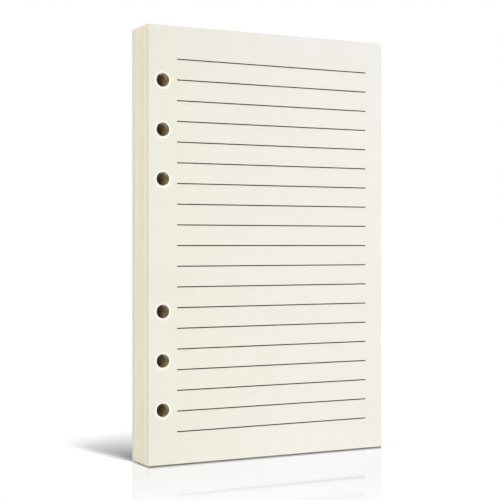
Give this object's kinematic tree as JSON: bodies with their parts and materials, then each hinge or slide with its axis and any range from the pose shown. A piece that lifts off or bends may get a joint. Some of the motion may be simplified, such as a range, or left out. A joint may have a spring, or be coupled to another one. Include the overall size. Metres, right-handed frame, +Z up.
{
  "type": "binder refill paper",
  "caption": "Squared stack of cream ruled loose-leaf sheets, standing on its bottom edge, punched through with two groups of round ring holes along one long edge.",
  "frame": {"origin": "middle of the bottom edge of the stack, halfway through its thickness", "axes": "+Z up the height of the page, +Y through the stack from the front page to the back page, +X from the punched edge to the fore edge"},
  "size_m": [0.1064, 0.016, 0.1695],
  "materials": {
    "paper": "uncoated cream writing paper, matt, with a fine fibre tooth",
    "ink": "matt dark brown-grey printing ink on paper"
  },
  "bodies": {
    "root": {"sheet_stack": "paper", "ruling_front": "ink", "ruling_back": "ink"}
  },
  "joints": []
}
